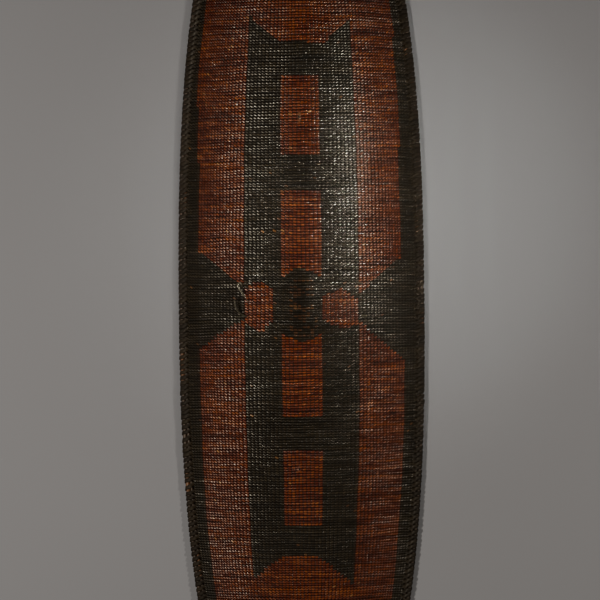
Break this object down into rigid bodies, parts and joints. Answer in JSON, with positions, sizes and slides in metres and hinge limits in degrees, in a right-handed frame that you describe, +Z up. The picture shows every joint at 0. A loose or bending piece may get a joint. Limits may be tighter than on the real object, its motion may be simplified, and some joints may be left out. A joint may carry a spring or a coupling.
{
  "type": "woven fibre shield",
  "caption": "Long narrow shield woven from black and red-brown fibre over thin canes, with a crowned front, a lashed rod rim and a bowed wooden grip across its hollow back.",
  "frame": {"origin": "on the ground under the middle of the shield, which lies face up on its rim", "axes": "+Z up, out of the crowned front; +Y along the shield towards its upper end; +X to its right as seen from the front"},
  "size_m": [0.34, 1.2794, 0.0658],
  "materials": {
    "woven_fibre": "close twined fibre in black and red-brown, worn and lightly polished by handling",
    "rim_wood": "peeled rod, dark and smooth, with orange-brown bare patches",
    "lashing_strand": "flat blackened fibre strand, low sheen",
    "grip_wood": "hand-carved wood, smooth from use"
  },
  "bodies": {
    "root": {"woven_panel": "woven_fibre", "rim_rod_outer": "rim_wood", "rim_rod_inner": "rim_wood", "rim_lashing": "lashing_strand", "grip": "grip_wood", "grip_lashing_left": "lashing_strand", "grip_lashing_right": "lashing_strand"}
  },
  "joints": []
}
